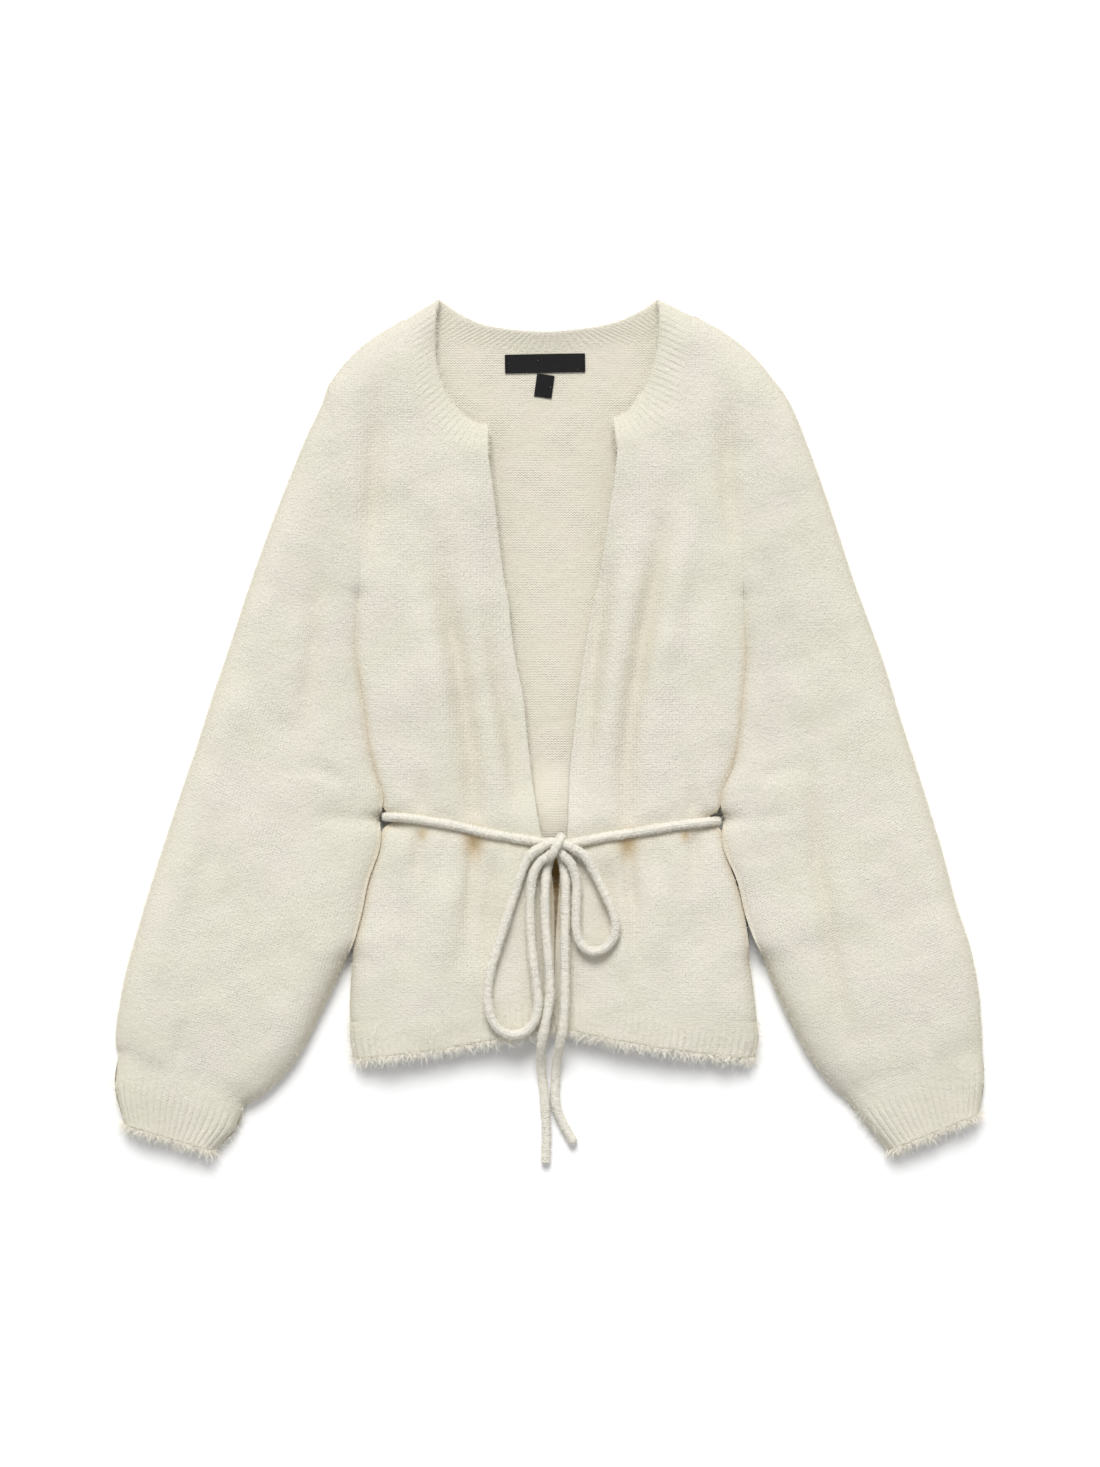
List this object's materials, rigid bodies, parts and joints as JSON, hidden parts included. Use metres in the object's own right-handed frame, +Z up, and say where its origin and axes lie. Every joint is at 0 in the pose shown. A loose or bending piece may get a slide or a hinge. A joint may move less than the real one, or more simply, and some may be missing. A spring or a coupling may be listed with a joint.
{
  "type": "knitted wrap cardigan laid flat",
  "caption": "Cream brushed-knit wrap cardigan laid flat, with balloon sleeves, ribbed cuffs, hem and neckband, and a round cord belt tied in a bow.",
  "frame": {"origin": "on the surface the garment lies on, under the middle of its outline without the belt's free ends", "axes": "+Z up from the surface, +Y towards the neck, +X towards the sleeve on the viewer's right"},
  "size_m": [0.6979, 0.6932, 0.0324],
  "materials": {
    "knit": "brushed wool-blend stockinette with a soft halo of fibres",
    "rib": "one-by-one rib of the same brushed yarn",
    "cord": "round knitted cord of the same yarn",
    "label": "black woven satin, bare"
  },
  "bodies": {
    "root": {"back": "knit", "front_left": "knit", "front_right": "knit", "sleeve_left": "knit", "sleeve_right": "knit", "cuff_left": "rib", "cuff_right": "rib", "hem_back": "rib", "hem_front_left": "rib", "hem_front_right": "rib", "neckband_back": "rib", "neckband_left": "rib", "neckband_right": "rib", "label_main": "label", "label_care": "label", "belt_front_left": "cord", "belt_front_right": "cord", "belt_back": "cord", "belt_knot": "cord", "bow_loop_left": "cord", "bow_loop_right": "cord", "belt_tail_left": "cord", "belt_tail_right": "cord"}
  },
  "joints": []
}
